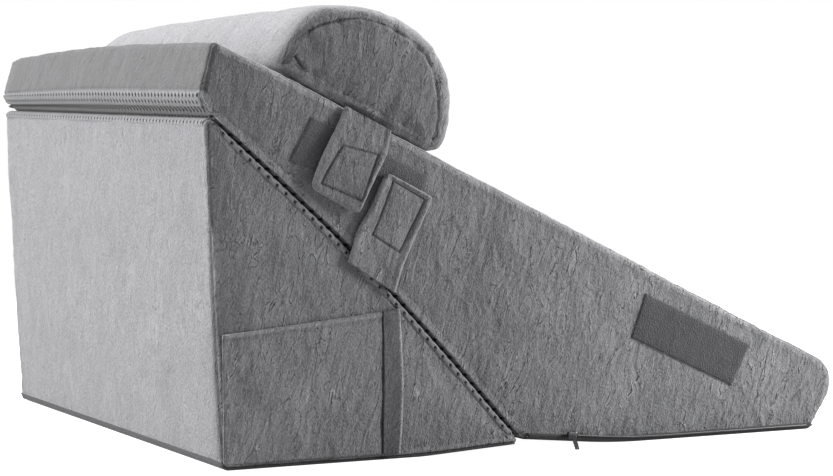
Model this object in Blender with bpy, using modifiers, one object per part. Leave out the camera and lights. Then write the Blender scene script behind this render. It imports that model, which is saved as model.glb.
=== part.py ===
"""Orthopedic wedge pillow set: two wedges and a half-moon bolster, strapped together.

Metres, +Z up, the set stands on z = 0. X runs from the upright back towards the
low nose, and the near side (straps, pocket, zip) faces -Y. The tables below
measure x from the foot of the lower wedge's back and y from the middle of its
width; FRAME then moves everything so that the origin is under the set's centre.
"""
from collections import namedtuple
from math import cos, pi, radians, sin, tan

import bmesh
import bpy
from mathutils import Matrix, Vector
from mathutils.bvhtree import BVHTree

# Driving dimensions
WIDTH = 0.610               # both wedges and the bolster, side to side
RIM = 0.007                 # radius of the sewn edge between outline and end panels
RIM_STEPS = 4
END_CROWN = 0.003           # how far an end panel swells at its middle
PUFF = 0.003                # how far a free face swells at the middle of the width
GAP = 0.0004                # between pieces that touch
CLOTH = 0.0012              # thickness of a single layer of cloth
RECESS = GAP + CLOTH        # a sewn-on panel's outer face above the filled form
FRAME = Vector((-0.3360, 0.0126, 0.0))

# The line along which the wedges meet, from the shared toe to the top of the back
PARTING_TOE = (0.3218, 0.0110)
PARTING_TOP = (-0.0150, 0.3415)
PARTING_BOW = 0.0095        # the filled slope rises this far above the straight line
PARTING_STEPS = 9

# The slope that the person lies on: its top end, and its fall
SLOPE_TOP = (0.0025, 0.3997)
SLOPE_FALL = radians(25.3)

BASE_LIFT = 0.0974          # the upper wedge's base rises this steeply towards the crotch
ZIP_START = 0.3860          # where the closed zip's slider stands

Corner = namedtuple("Corner", "name x z radius puff droop")
Edge = namedtuple("Edge", "name x z nx nz puff droop")
Slice = namedtuple("Slice", "y tilt puff droop")

# How a cushion changes over its width: a row for each section, near side first. y is
# a share of the half width inside the rims, puff lets the free faces swell there, and
# droop lowers the corners marked for it.
WEDGE_SECTIONS = (
    # y,    puff, droop
    (-1.00, 0.35, 0.00),
    (-0.77, 0.75, 0.00),
    (-0.40, 0.95, 0.00),
    (0.00, 1.00, 0.00),
    (0.34, 0.95, 0.15),
    (0.59, 0.90, 0.45),
    (0.81, 0.75, 0.80),
    (1.00, 0.35, 1.00),
)
FAR_DROOP = 0.0100          # the upper wedge's far top corner sags this far

# The bolster ends short of the far side, and its near half is the fuller one
BOLSTER_RIM = 0.011
BOLSTER_PUFF = 0.008
BOLSTER_DROOP = 0.013
BOLSTER_SECTIONS = (
    # y,    puff, droop
    (-1.00, 0.00, 0.00),
    (-0.89, 0.75, 0.00),
    (-0.77, 1.00, 0.00),
    (-0.48, 0.80, 0.00),
    (-0.07, 0.40, 0.10),
    (0.34, 0.15, 0.55),
    (0.58, 0.00, 0.85),
    (0.77, 0.00, 1.15),
    (0.87, 0.00, 1.60),
)

# Materials: colour (linear), roughness, metallic
FINISHES = {
    "plush": ((0.215, 0.215, 0.217), 0.95, 0.0),
    "mesh_cloth": ((0.180, 0.180, 0.182), 0.85, 0.0),
    "base_cloth": ((0.040, 0.040, 0.041), 0.80, 0.0),
    "loop_tape": ((0.085, 0.085, 0.086), 0.95, 0.0),
    "zip_tape": ((0.030, 0.030, 0.031), 0.70, 0.0),
    "zip_metal": ((0.110, 0.110, 0.112), 0.40, 1.0),
}


def along_slope(s, n):
    """x and z of a point s metres down the lying slope and n metres above it."""
    x = SLOPE_TOP[0] + s * cos(SLOPE_FALL) + n * sin(SLOPE_FALL)
    return x, SLOPE_TOP[1] - s * sin(SLOPE_FALL) + n * cos(SLOPE_FALL)


def parting(lift):
    """Points along the parting line from toe to top, lifted towards the upper wedge."""
    toe, top = Vector(PARTING_TOE), Vector(PARTING_TOP)
    up = Vector((toe.y - top.y, toe.x - top.x)).normalized()
    up = Vector((abs(up.x), abs(up.y)))
    points = []
    for k in range(1, PARTING_STEPS):
        t = k / PARTING_STEPS
        rise = PARTING_BOW * sin(pi * t) ** 1.15 + lift
        points.append(toe.lerp(top, t) + up * rise)
    ends = [toe + up * lift, top + up * lift]
    return ends[0], points, ends[1]


def rounded(corners, longest):
    """The closed outline through the corners, anticlockwise seen from the near side,
    with each corner rounded to its radius and long runs split."""
    count = len(corners)
    raw = []
    for i, c in enumerate(corners):
        here = Vector((c.x, c.z))
        before = Vector((corners[i - 1].x, corners[i - 1].z)) - here
        after = Vector((corners[(i + 1) % count].x, corners[(i + 1) % count].z)) - here
        before.normalize()
        after.normalize()
        half = before.angle(after) / 2
        if c.radius <= 0 or half > radians(89.7):
            raw.append((c.name, here, c.puff, c.droop))
            continue
        reach = c.radius / tan(half)
        centre = here + (before + after).normalized() * (c.radius / sin(half))
        start = here + before * reach - centre
        turn = pi - 2 * half
        steps = max(2, round(turn / radians(22)))
        for k in range(steps + 1):
            spoke = start.copy()
            spoke.rotate(Matrix.Rotation(turn * k / steps, 2))
            raw.append((c.name, centre + spoke, c.puff, c.droop))
    points = []
    for i, (name, here, puff, droop) in enumerate(raw):
        points.append((name, here, puff, droop))
        _, there, next_puff, next_droop = raw[(i + 1) % len(raw)]
        pieces = max(1, round((there - here).length / longest))
        for k in range(1, pieces):
            t = k / pieces
            swell = puff + (next_puff - puff) * t
            sag = droop + (next_droop - droop) * t
            points.append(("", here.lerp(there, t), swell, sag))
    edges = []
    for i, (name, here, puff, droop) in enumerate(points):
        run = (points[(i + 1) % len(points)][1] - here).normalized()
        run += (here - points[i - 1][1]).normalized()
        run.normalize()
        edges.append(Edge(name, here.x, here.y, run.y, -run.x, puff, droop))
    return edges


def slices(sections, rim):
    """The sections of a cushion from the near end panel to the far one, with the
    quarter-round rims at both ends as rows of their own."""
    reach = WIDTH / 2 - rim
    rows = [Slice(y * reach, 0.0, puff, droop) for y, puff, droop in sections]
    turns = [radians(90 * k / RIM_STEPS) for k in range(1, RIM_STEPS + 1)]
    near = [rows[0]._replace(tilt=-turn) for turn in reversed(turns)]
    far = [rows[-1]._replace(tilt=turn) for turn in turns]
    return near + rows + far


def surface(edge, row, rim, puff, droop, lift=0.0):
    """A point of a cushion's surface, or one lifted off it."""
    out = Vector((edge.nx * cos(row.tilt), sin(row.tilt), edge.nz * cos(row.tilt)))
    swell = puff * edge.puff * row.puff - rim
    core = Vector((edge.x + edge.nx * swell, row.y, edge.z + edge.nz * swell))
    core.z -= droop * edge.droop * row.droop
    return core + out * (rim + lift)


def finish(name):
    """The material of that name, made once."""
    if name in bpy.data.materials:
        return bpy.data.materials[name]
    colour, roughness, metallic = FINISHES[name]
    material = bpy.data.materials.new(name)
    material.use_nodes = True
    shader = material.node_tree.nodes["Principled BSDF"]
    shader.inputs["Base Color"].default_value = (*colour, 1.0)
    shader.inputs["Roughness"].default_value = roughness
    shader.inputs["Metallic"].default_value = metallic
    return material


def place(name, mesh, material):
    """An object for the mesh, in the set's collection."""
    body = bpy.data.objects.new(name, mesh)
    bpy.data.collections["wedge_pillow_set"].objects.link(body)
    body.location = FRAME
    mesh.materials.append(finish(material))
    mesh.shade_smooth()
    mesh.set_sharp_from_angle(angle=radians(50))
    return body


def loft(name, rings, ends, material):
    """One closed body through rings of equal length, closed by a point at each end."""
    mesh = bpy.data.meshes.new(name)
    shape = bmesh.new()
    loops = [[shape.verts.new(p) for p in ring] for ring in rings]
    count = len(rings[0])
    for low, high in zip(loops, loops[1:]):
        for i in range(count):
            j = (i + 1) % count
            shape.faces.new((low[i], low[j], high[j], high[i]))
    near, far = (shape.verts.new(p) for p in ends)
    for i in range(count):
        j = (i + 1) % count
        shape.faces.new((near, loops[0][j], loops[0][i]))
        shape.faces.new((far, loops[-1][i], loops[-1][j]))
    bmesh.ops.recalc_face_normals(shape, faces=shape.faces)
    shape.to_mesh(mesh)
    shape.free()
    return place(name, mesh, material)


def cushion(name, edges, rows, rim, crown, puff, droop):
    """A filled form: its outline carried through the rows, and crowned end panels."""
    rings = [[surface(e, row, rim, puff, droop) for e in edges] for row in rows]
    centres = []
    panels = []
    for ring, side in ((rings[0], -1), (rings[-1], 1)):
        middle = sum(ring, Vector()) / len(ring)
        panel = []
        for share in (0.90, 0.70, 0.40):
            swell = Vector((0, side * crown * (1 - share ** 2), 0))
            panel.append([middle.lerp(p, share) + swell for p in ring])
        panels.append(panel)
        centres.append(middle + Vector((0, side * crown, 0)))
    rings = panels[0][::-1] + rings + panels[1]
    return loft(name, rings, centres, "plush")


def sheet(name, front, back, material):
    """A closed sheet between two grids of points of the same size."""
    mesh = bpy.data.meshes.new(name)
    shape = bmesh.new()
    top = [[shape.verts.new(p) for p in row] for row in front]
    under = [[shape.verts.new(p) for p in row] for row in back]
    tall, wide = len(front) - 1, len(front[0]) - 1
    for i in range(tall):
        for j in range(wide):
            quad = ((i, j), (i + 1, j), (i + 1, j + 1), (i, j + 1))
            shape.faces.new([top[a][b] for a, b in quad])
            shape.faces.new([under[a][b] for a, b in reversed(quad)])
    rim = [(i, 0) for i in range(tall)] + [(tall, j) for j in range(wide)]
    rim += [(i, wide) for i in range(tall, 0, -1)] + [(0, j) for j in range(wide, 0, -1)]
    for (a, b), (c, d) in zip(rim, rim[1:] + rim[:1]):
        shape.faces.new((top[a][b], under[a][b], under[c][d], top[c][d]))
    bmesh.ops.recalc_face_normals(shape, faces=shape.faces)
    shape.to_mesh(mesh)
    shape.free()
    return place(name, mesh, material)


def run_of(edges, start, end):
    """The outline's points from the last one named start to the first named end."""
    names = [e.name for e in edges]
    first = max(i for i, name in enumerate(names) if name == start)
    turned = edges[first:] + edges[:first]
    last = next(i for i, e in enumerate(turned) if e.name == end)
    return turned[:last + 1]


def wrap(name, columns, rows, droop, material):
    """A sewn-on panel: the cushion's own surface lifted by a gap, one cloth thick."""
    back, front = (
        [[surface(e, row, RIM, PUFF, droop, lift) for e in columns] for row in rows]
        for lift in (GAP, RECESS)
    )
    return sheet(name, front, back, material)


def facing(body):
    """A function that gives how near the viewer a body's near side is at x, z."""
    tree = BVHTree.FromPolygons(
        [v.co for v in body.data.vertices], [tuple(p.vertices) for p in body.data.polygons]
    )

    def near_side(x, z):
        hit = tree.ray_cast(Vector((x, -1.0, z)), Vector((0, 1, 0)))[0]
        return min(hit.y, -WIDTH / 2) if hit else -WIDTH / 2
    return near_side


def between(rows, longest):
    """The rows of a flat piece, with more of them where they lie far apart."""
    full = [rows[0]]
    for low, high in zip(rows, rows[1:]):
        apart = (Vector(high[0]) - Vector(low[0])).length
        pieces = max(1, round(apart / longest))
        for k in range(1, pieces + 1):
            t = k / pieces
            left = Vector(low[0]).lerp(Vector(high[0]), t)
            right = Vector(low[1]).lerp(Vector(high[1]), t)
            off = [a + (b - a) * t for a, b in zip(low[2:], high[2:])]
            full.append((left, right, *off))
    return full


def laid(name, rows, across, near_side, thick, material):
    """A flat piece on the near side. Each row has the left and right end as (x, z),
    and how far the piece's back stands off the side there."""
    front, back = [], []
    for left, right, off_left, off_right in between(rows, 0.015):
        front_row, back_row = [], []
        for t in across:
            x = left[0] + (right[0] - left[0]) * t
            z = left[1] + (right[1] - left[1]) * t
            y = near_side(x, z) - GAP - off_left - (off_right - off_left) * t
            back_row.append(Vector((x, y, z)))
            front_row.append(Vector((x, y - thick, z)))
        front.append(front_row)
        back.append(back_row)
    return sheet(name, front, back, material)


def lower_outline(recess):
    """The lower wedge's outline, drawn in by the recess where panels cover it."""
    toe, slope, top = parting(-GAP / 2 - recess)
    corners = [
        Corner("foot", 0.0, recess, 0.008, 0, 0),
        Corner("lift", 0.2150, recess, 0.250, 0, 0),
        Corner("toe", toe.x, toe.y, 0.004, 0, 0),
    ]
    corners += [Corner("slope", p.x, p.y, 0, 0, 0) for p in slope]
    corners += [
        Corner("top", top.x, top.y, 0.005, 0, 0),
        Corner("back", -0.0110, 0.2300, 0, 1, 0),
        Corner("back", -0.0055, 0.1100, 0, 1, 0),
    ]
    return rounded(corners, 0.060)


def upper_outline(recess):
    """The upper wedge's outline, drawn in by the recess where panels cover it."""
    toe, slope, top = parting(GAP / 2 + recess)
    bare = parting(GAP / 2)[2]
    corners = [
        Corner("crotch", toe.x + recess, toe.y + recess, 0.003, 0, 0),
        Corner("zip", ZIP_START, toe.y + recess - (ZIP_START - toe.x - recess) * BASE_LIFT, 0, 0, 0),
        Corner("land", toe.x + recess + toe.y / BASE_LIFT, recess, 0.700, 0, 0),
        Corner("heel", 0.6695, recess, 0.006, 0, 0),
        Corner("nose", 0.7068, 0.0668, 0.029, 0, 0),
        Corner("lying", *along_slope(0.590, 0.0015), 0, 0.4, 0),
        Corner("lying", *along_slope(0.430, 0.0008), 0, 0.4, 0),
        Corner("lying", *along_slope(0.280, 0.0), 0, 0, 0),
        Corner("lying", *along_slope(0.110, 0.0), 0, 0, 0.15),
        Corner("crest", *along_slope(-0.012, 0.0), 0.006, 0, 1),
        Corner("seam", -0.0200, 0.3585, 0, 0.5, 0.5),
        Corner("bulge", -0.0215 + recess, 0.3510, 0.006, 0.2, 0.3),
        Corner("lip", -0.0125 + recess, bare.y - 0.0015 + recess, 0.003, 0, 0),
    ]
    corners += [Corner("slope", p.x, p.y, 0, 0, 0) for p in reversed(slope)]
    return rounded(corners, 0.070)


def bolster_outline():
    """The half-moon: flat where it lies, an elliptical arch above."""
    middle, half_width, shoulder, arch = 0.1530, 0.0958, 0.0300, 0.0732
    corners = [
        Corner("back_foot", *along_slope(0.0560, 0.0085), 0.018, 0, 0),
        Corner("seat", *along_slope(0.1150, 0.0005), 0, 0, 0),
        Corner("front_foot", *along_slope(0.2490, 0.0005), 0.018, 0, 0),
    ]
    steps = 12
    for k in range(steps + 1):
        a = pi * k / steps
        s, n = middle + half_width * cos(a), shoulder + arch * sin(a)
        corners.append(Corner("arch", *along_slope(s, n), 0, sin(a), sin(a)))
    return rounded(corners, 0.050)


def make_lower_wedge():
    edges = lower_outline(RECESS)
    rows = slices(WEDGE_SECTIONS, RIM)
    body = cushion("lower_wedge", edges, rows, RIM, END_CROWN, PUFF, 0)
    wrap("lower_slope_panel", run_of(edges, "toe", "back")[:-2], rows[1:-1], 0, "mesh_cloth")
    base = run_of(edges, "back", "toe")
    base = [e for e in base if e.z < 0.012]
    wrap("lower_base_panel", base, rows[1:-1], 0, "base_cloth")
    return body


def make_upper_wedge():
    edges = upper_outline(RECESS)
    rows = slices(WEDGE_SECTIONS, RIM)
    body = cushion("upper_wedge", edges, rows, RIM, END_CROWN, PUFF, FAR_DROOP)
    under = run_of(edges, "seam", "crotch")
    wrap("upper_under_panel", under, rows[1:-1], FAR_DROOP, "mesh_cloth")
    base = run_of(edges, "crotch", "nose")[:-1]
    wrap("upper_base_panel", base, rows[1:-1], FAR_DROOP, "base_cloth")
    return body


def make_bolster():
    edges = bolster_outline()
    rows = slices(BOLSTER_SECTIONS, BOLSTER_RIM)
    crown = 2 * END_CROWN
    cushion("head_bolster", edges, rows, BOLSTER_RIM, crown, BOLSTER_PUFF, BOLSTER_DROOP)


def make_patches(side):
    """The two loop patches on the upper wedge's near side."""
    across = [k / 9 for k in range(10)]
    patches = (
        # name, left end (top, bottom), right end (top, bottom)
        ("rear_loop_patch", (0.0936, 0.3346), (0.0709, 0.2934), (0.2175, 0.2762), (0.1948, 0.2350)),
        ("front_loop_patch", (0.4663, 0.1521), (0.4490, 0.1079), (0.5937, 0.0934), (0.5712, 0.0524)),
    )
    for name, top_left, low_left, top_right, low_right in patches:
        rows = ((top_left, top_right, 0, 0), (low_left, low_right, 0, 0))
        laid(name, rows, across, side, CLOTH, "loop_tape")


def make_straps(side):
    """The two hook straps. Each row: left end, right end, stand-off left and right."""
    bolster_strap = (
        ((0.1330, 0.3450), (0.1765, 0.3235), 0.0008, 0.0008),
        ((0.1240, 0.3290), (0.1735, 0.3080), 0.0035, 0.0025),
        ((0.1099, 0.3057), (0.1685, 0.2911), 0.0060, 0.0035),
        ((0.1010, 0.2860), (0.1590, 0.2690), 0.0050, 0.0040),
        ((0.0943, 0.2668), (0.1455, 0.2403), 0.0045, 0.0045),
    )
    link_strap = (
        ((0.1329, 0.1952), (0.1815, 0.1634), 0.0020, 0.0020),
        ((0.1375, 0.2090), (0.1850, 0.1740), 0.0026, 0.0022),
        ((0.1430, 0.2260), (0.1900, 0.1890), 0.0030, 0.0025),
        ((0.1544, 0.2451), (0.1998, 0.2122), 0.0035, 0.0030),
        ((0.1676, 0.2716), (0.2164, 0.2418), 0.0035, 0.0030),
        ((0.1739, 0.2798), (0.2232, 0.2548), 0.0035, 0.0030),
    )
    across = (0.0, 0.06, 0.25, 0.5, 0.75, 0.94, 1.0)
    laid("bolster_strap", bolster_strap, across, side, 0.0030, "plush")
    laid("link_strap", link_strap, across, side, 0.0030, "plush")


def make_pocket(side):
    """The pocket on the lower wedge's near side, and the gusset down its front."""
    pocket = (
        ((0.0030, 0.1335), (0.1665, 0.1450), 0.0010, 0.0010),
        ((0.0045, 0.0900), (0.1665, 0.0950), 0.0006, 0.0006),
        ((0.0050, 0.0450), (0.1665, 0.0450), 0.0004, 0.0004),
        ((0.0060, 0.0120), (0.1665, 0.0120), 0.0002, 0.0002),
    )
    gusset = (
        ((0.1680, 0.1450), (0.1885, 0.1470), 0.0004, 0.0004),
        ((0.1680, 0.0950), (0.1895, 0.0950), 0.0012, 0.0030),
        ((0.1680, 0.0450), (0.1895, 0.0450), 0.0012, 0.0030),
        ((0.1680, 0.0120), (0.1890, 0.0120), 0.0004, 0.0004),
    )
    laid("pocket_panel", pocket, [k / 9 for k in range(10)], side, 0.0018, "plush")
    laid("pocket_gusset", gusset, (0, 0.35, 0.7, 1), side, 0.0022, "plush")


def make_zip():
    """The zip in the lower near seam of the upper wedge, closed, with its slider."""
    edges = run_of(upper_outline(RECESS), "zip", "heel")
    near = slices(WEDGE_SECTIONS, RIM)[0]
    row = near._replace(tilt=radians(-70))
    thick = 0.0022
    lift = RECESS + GAP + thick / 2
    points = [surface(e, row, RIM, 0, 0, lift) for e in edges]
    line = bpy.data.curves.new("zip_coil", "CURVE")
    line.dimensions = "3D"
    line.bevel_depth = thick / 2
    line.bevel_resolution = 2
    line.use_fill_caps = True
    spline = line.splines.new("POLY")
    spline.points.add(len(points) - 1)
    for point, here in zip(spline.points, points):
        point.co = (*here, 1)
    coil = bpy.data.objects.new("zip_coil", line)
    coil.location = FRAME
    bpy.data.collections["wedge_pillow_set"].objects.link(coil)
    line.materials.append(finish("zip_tape"))
    return points[0]


def make_block(name, size, centre, turn, bevel, material):
    """A small metal piece: a box with rounded edges."""
    bpy.ops.mesh.primitive_cube_add(size=1)
    body = bpy.context.object
    body.name = name
    body.data.name = name
    body.data.transform(Matrix.Diagonal((*size, 1)))
    body.matrix_world = Matrix.Translation(FRAME + centre) @ turn
    for holder in body.users_collection:
        holder.objects.unlink(body)
    bpy.data.collections["wedge_pillow_set"].objects.link(body)
    body.data.materials.append(finish(material))
    soft = body.modifiers.new("edges", "BEVEL")
    soft.width = bevel
    soft.segments = 2
    return body


def make_slider(start):
    """The slider at the closed end of the zip, and its tab lying out on the surface."""
    slider = start + Vector((-0.0075, -0.0022, 0.0010))
    flat = Matrix.Identity(4)
    make_block("zip_slider", (0.0100, 0.0045, 0.0065), slider, flat, 0.0012, "zip_metal")
    hinge = slider + Vector((-0.0004, -0.0034, -0.0004))
    tip = Vector((hinge.x - 0.0065, hinge.y - 0.0195, 0.0012))
    run = tip - hinge
    turn = run.to_track_quat("X", "Z").to_matrix().to_4x4()
    size = (run.length, 0.0045, 0.0013)
    make_block("zip_puller", size, (hinge + tip) / 2, turn, 0.0005, "zip_metal")


def main():
    for leftover in list(bpy.data.objects):
        bpy.data.objects.remove(leftover)
    holder = bpy.data.collections.new("wedge_pillow_set")
    bpy.context.scene.collection.children.link(holder)
    lower = make_lower_wedge()
    upper = make_upper_wedge()
    make_bolster()
    upper_side = facing(upper)
    make_patches(upper_side)
    make_straps(upper_side)
    make_pocket(facing(lower))
    make_slider(make_zip())


main()
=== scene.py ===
from math import ceil, cos, pi, radians, sin, tan

import bmesh
import bpy
import numpy as np
from mathutils import Matrix, Vector
from mathutils.bvhtree import BVHTree
from mathutils.geometry import delaunay_2d_cdt


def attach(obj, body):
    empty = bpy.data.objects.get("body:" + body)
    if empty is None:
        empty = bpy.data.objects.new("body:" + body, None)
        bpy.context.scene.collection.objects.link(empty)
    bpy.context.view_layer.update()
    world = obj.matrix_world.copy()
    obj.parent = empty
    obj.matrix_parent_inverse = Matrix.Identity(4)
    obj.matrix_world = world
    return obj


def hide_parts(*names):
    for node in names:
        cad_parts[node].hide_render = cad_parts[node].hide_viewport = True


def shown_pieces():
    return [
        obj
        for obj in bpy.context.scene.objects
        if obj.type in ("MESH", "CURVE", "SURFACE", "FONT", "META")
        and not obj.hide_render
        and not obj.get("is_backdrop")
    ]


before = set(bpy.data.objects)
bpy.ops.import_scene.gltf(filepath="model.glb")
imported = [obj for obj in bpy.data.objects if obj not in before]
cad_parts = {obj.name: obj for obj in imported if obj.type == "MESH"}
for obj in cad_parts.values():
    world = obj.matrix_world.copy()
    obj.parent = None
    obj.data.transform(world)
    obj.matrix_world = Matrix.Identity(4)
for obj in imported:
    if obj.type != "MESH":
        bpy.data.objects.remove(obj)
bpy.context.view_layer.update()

# Metres. The tables measure x from the foot of the lower wedge's back towards the low
# nose, y from the middle of the width, z up; shift then puts them in the set's frame.
pillowSet = {
    "width": 0.610,             # both wedges and the bolster, side to side
    "gap": 0.0004,              # between pieces that touch
    "cloth": 0.0012,            # one layer of cloth
    "cornerStep": 0.0016,       # between the points round a rounded corner
    "shift": (-0.3360, 0.0126, 0.0),
    "seed": 11,                 # of everything drawn at random
}
recess = pillowSet["gap"] + pillowSet["cloth"]  # how far a form stands back for a panel
shift = np.array(pillowSet["shift"])

# The line on which the wedges meet, from the shared toe to the top of the back
parting = {
    "toe": (0.3240, 0.0089), "top": (-0.0150, 0.3415),
    "bow": 0.0095,              # how far its middle stands off the straight line
    "fullness": 1.15,           # less makes the bow flatter in the middle
    "steps": 36,
}

# The upper wedge's slope, for lying on
slope = {"top": (0.0025, 0.3997), "fall": radians(25.3)}

# Sections over the width, near side first: share of the half width, swell, droop
wedgeSections = (
    (-1.00, 0.35, 0.00), (-0.77, 0.75, 0.00), (-0.40, 0.95, 0.00), (0.00, 1.00, 0.06),
    (0.34, 0.95, 0.34), (0.59, 0.90, 0.64), (0.81, 0.75, 0.92), (1.00, 0.35, 1.25),
)
bolsterSections = (
    (-1.00, 0.00, 0.00), (-0.89, 0.30, 0.05), (-0.77, 0.45, 0.20), (-0.62, 0.45, 0.44),
    (-0.46, 0.42, 0.42), (-0.24, 0.40, 0.58), (0.00, 0.34, 0.73), (0.18, 0.25, 0.90),
    (0.34, 0.15, 0.92), (0.58, 0.00, 1.18), (0.77, 0.00, 1.66), (0.87, 0.00, 2.80),
)


# Colours and node trees

def hexToLinear(code):
    parts = [int(code[i:i + 2], 16) / 255 for i in (1, 3, 5)]
    return tuple(c / 12.92 if c <= 0.04045 else ((c + 0.055) / 1.055) ** 2.4 for c in parts)


def addNode(tree, kind, links=None, **settings):
    # Settings are the node's own properties; links feed sockets by name or index, with
    # another node's output or a plain value
    node = tree.nodes.new(kind)
    for key, value in settings.items():
        setattr(node, key, value)
    for socket, source in (links or {}).items():
        if isinstance(source, bpy.types.NodeSocket):
            tree.links.new(source, node.inputs[socket])
        else:
            node.inputs[socket].default_value = source
    return node


def newMaterial(name, colour, roughness, sheen=0.0, metallic=0.0):
    material = bpy.data.materials.new(name)
    material.use_nodes = True
    tree = material.node_tree
    shader = tree.nodes["Principled BSDF"]
    shader.inputs["Base Color"].default_value = (*hexToLinear(colour), 1)
    shader.inputs["Roughness"].default_value = roughness
    shader.inputs["Metallic"].default_value = metallic
    shader.inputs["Sheen Weight"].default_value = sheen
    shader.inputs["Sheen Roughness"].default_value = 0.45
    return material, tree, shader


def inMillimetres(tree, stretch, turn=(0, 0, 0)):
    # Object coordinates in millimetres, turned, then squeezed along each axis
    place = addNode(tree, "ShaderNodeTexCoord").outputs["Object"]
    turned = addNode(tree, "ShaderNodeMapping", {"Vector": place, "Rotation": turn}).outputs[0]
    scale = tuple(1000 / s for s in stretch)
    return addNode(tree, "ShaderNodeMapping", {"Vector": turned, "Scale": scale}).outputs[0]


def tinted(tree, shader, colour, layers, tone=1.0):
    # The colour times the tone, lighter and darker by each layer: (socket 0..1, how much)
    total = 1.0
    for socket, amount in layers:
        part = addNode(tree, "ShaderNodeMath", {0: socket, 1: 0.5}, operation="SUBTRACT")
        total = addNode(tree, "ShaderNodeMath", {0: part.outputs[0], 1: 2 * amount, 2: total},
                        operation="MULTIPLY_ADD").outputs[0]
    total = addNode(tree, "ShaderNodeMath", {0: total, 1: tone}, operation="MULTIPLY")
    plain = addNode(tree, "ShaderNodeRGB")
    plain.outputs[0].default_value = (*hexToLinear(colour), 1)
    scaled = addNode(tree, "ShaderNodeVectorMath", {0: plain.outputs[0], 3: total.outputs[0]},
                     operation="SCALE")
    tree.links.new(scaled.outputs[0], shader.inputs["Base Color"])


def bumped(tree, shader, layers):
    # Bumps on top of each other: (socket, depth in metres)
    normal = None
    for socket, depth in layers:
        links = {"Height": socket, "Strength": 1.0, "Distance": depth}
        if normal is not None:
            links["Normal"] = normal
        normal = addNode(tree, "ShaderNodeBump", links).outputs[0]
    tree.links.new(normal, shader.inputs["Normal"])


def streaks(tree, lay, across, along, **noise):
    # Noise stretched along a direction, sizes in millimetres
    turn = Vector(lay).rotation_difference(Vector((0, 0, 1))).to_euler()
    place = inMillimetres(tree, (across, across, along), turn)
    return addNode(tree, "ShaderNodeTexNoise", {"Vector": place, "Scale": 1, **noise}).outputs[0]


def byFace(tree, onSides, elsewhere):
    # One value on the faces that look to the sides, another on the rest
    normal = addNode(tree, "ShaderNodeTexCoord").outputs["Normal"]
    across = addNode(tree, "ShaderNodeSeparateXYZ", {0: normal}).outputs["Y"]
    across = addNode(tree, "ShaderNodeMath", {0: across}, operation="ABSOLUTE").outputs[0]
    share = addNode(tree, "ShaderNodeMapRange", {"Value": across, "From Min": 0.6, "From Max": 0.8})
    mixed = addNode(tree, "ShaderNodeMix", {0: share.outputs[0], 2: elsewhere, 3: onSides})
    return mixed.outputs[0]


def thinFolds(tree, socket, width):
    # 1 along the lines where the noise is at its middle value, 0 away from them
    off = addNode(tree, "ShaderNodeMath", {0: socket, 1: 0.5}, operation="SUBTRACT")
    off = addNode(tree, "ShaderNodeMath", {0: off.outputs[0]}, operation="ABSOLUTE")
    return addNode(tree, "ShaderNodeMapRange", {
        "Value": off.outputs[0], "From Max": width, "To Min": 1.0, "To Max": 0.0},
        interpolation_type="SMOOTHSTEP").outputs[0]


def shortPilePlush():
    # Knitted polyester plush, raised and cropped: matt, with a fine grain that runs the way
    # the pile lies, steep on the sides and slanting on the back, and thin creases where it
    # has been folded, bumped and painted lighter along them as a painted highlight. Its tufts
    # are drawn 2 mm wide, as coarse as it takes for them to show. The toneAndPaintedLight
    # attribute is the tone set point by point: partly the pile's own tone and lay, partly
    # painted light and shade.
    colour = "#616163"
    material, tree, shader = newMaterial("short_pile_plush", colour, 0.92, 0.10)
    soft = addNode(tree, "ShaderNodeTexNoise", {
        "Vector": inMillimetres(tree, (30, 30, 46)), "Scale": 1, "Detail": 3, "Roughness": 0.5})
    pile = byFace(tree,
                  streaks(tree, (0.30, 0, 1), 1.6, 2.2, Detail=1, Distortion=0.2),
                  streaks(tree, (0.1, -1, 1), 1.6, 2.4, Detail=1, Distortion=0.2))
    rough = {"Detail": 1, "Roughness": 0.4}
    coarse = addNode(tree, "ShaderNodeMapRange", {
        "Value": streaks(tree, (0.1, -0.6, 1), 16.0, 20.0, Distortion=0.5, **rough),
        "To Min": 0.20, "To Max": 0.80})
    ruffle = byFace(tree, streaks(tree, (0.25, 0, 1), 9.0, 24.0, Distortion=0.8, **rough),
                    coarse.outputs[0])
    wander = streaks(tree, (0.30, 0, 1), 11.0, 44.0, Distortion=1.0, **rough)
    where = addNode(tree, "ShaderNodeMapRange", {
        "Value": soft.outputs[0], "From Min": 0.44, "From Max": 0.58,
        "To Max": byFace(tree, 1.0, 0.3)})
    folds = addNode(tree, "ShaderNodeMath", {
        0: thinFolds(tree, wander, 0.022), 1: where.outputs[0]}, operation="MULTIPLY").outputs[0]
    raised = addNode(tree, "ShaderNodeMath", {0: folds, 1: 0.5}, operation="ADD").outputs[0]
    calmer = addNode(tree, "ShaderNodeMapRange", {
        "Value": soft.outputs[0], "To Min": 0.24, "To Max": 0.76})
    mottle = byFace(tree, soft.outputs[0], calmer.outputs[0])
    toneAndPaintedLight = addNode(tree, "ShaderNodeAttribute", attribute_name="toneAndPaintedLight")
    # the raised folds paint a highlight along the creases; the attribute adds painted light and shade
    tinted(tree, shader, colour, [(mottle, 0.50), (ruffle, 0.12), (pile, 0.66), (raised, 0.24)],
           toneAndPaintedLight.outputs["Fac"])
    bumped(tree, shader, [(ruffle, 0.0022), (folds, 0.0026), (pile, 0.0010)])
    return material


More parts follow.
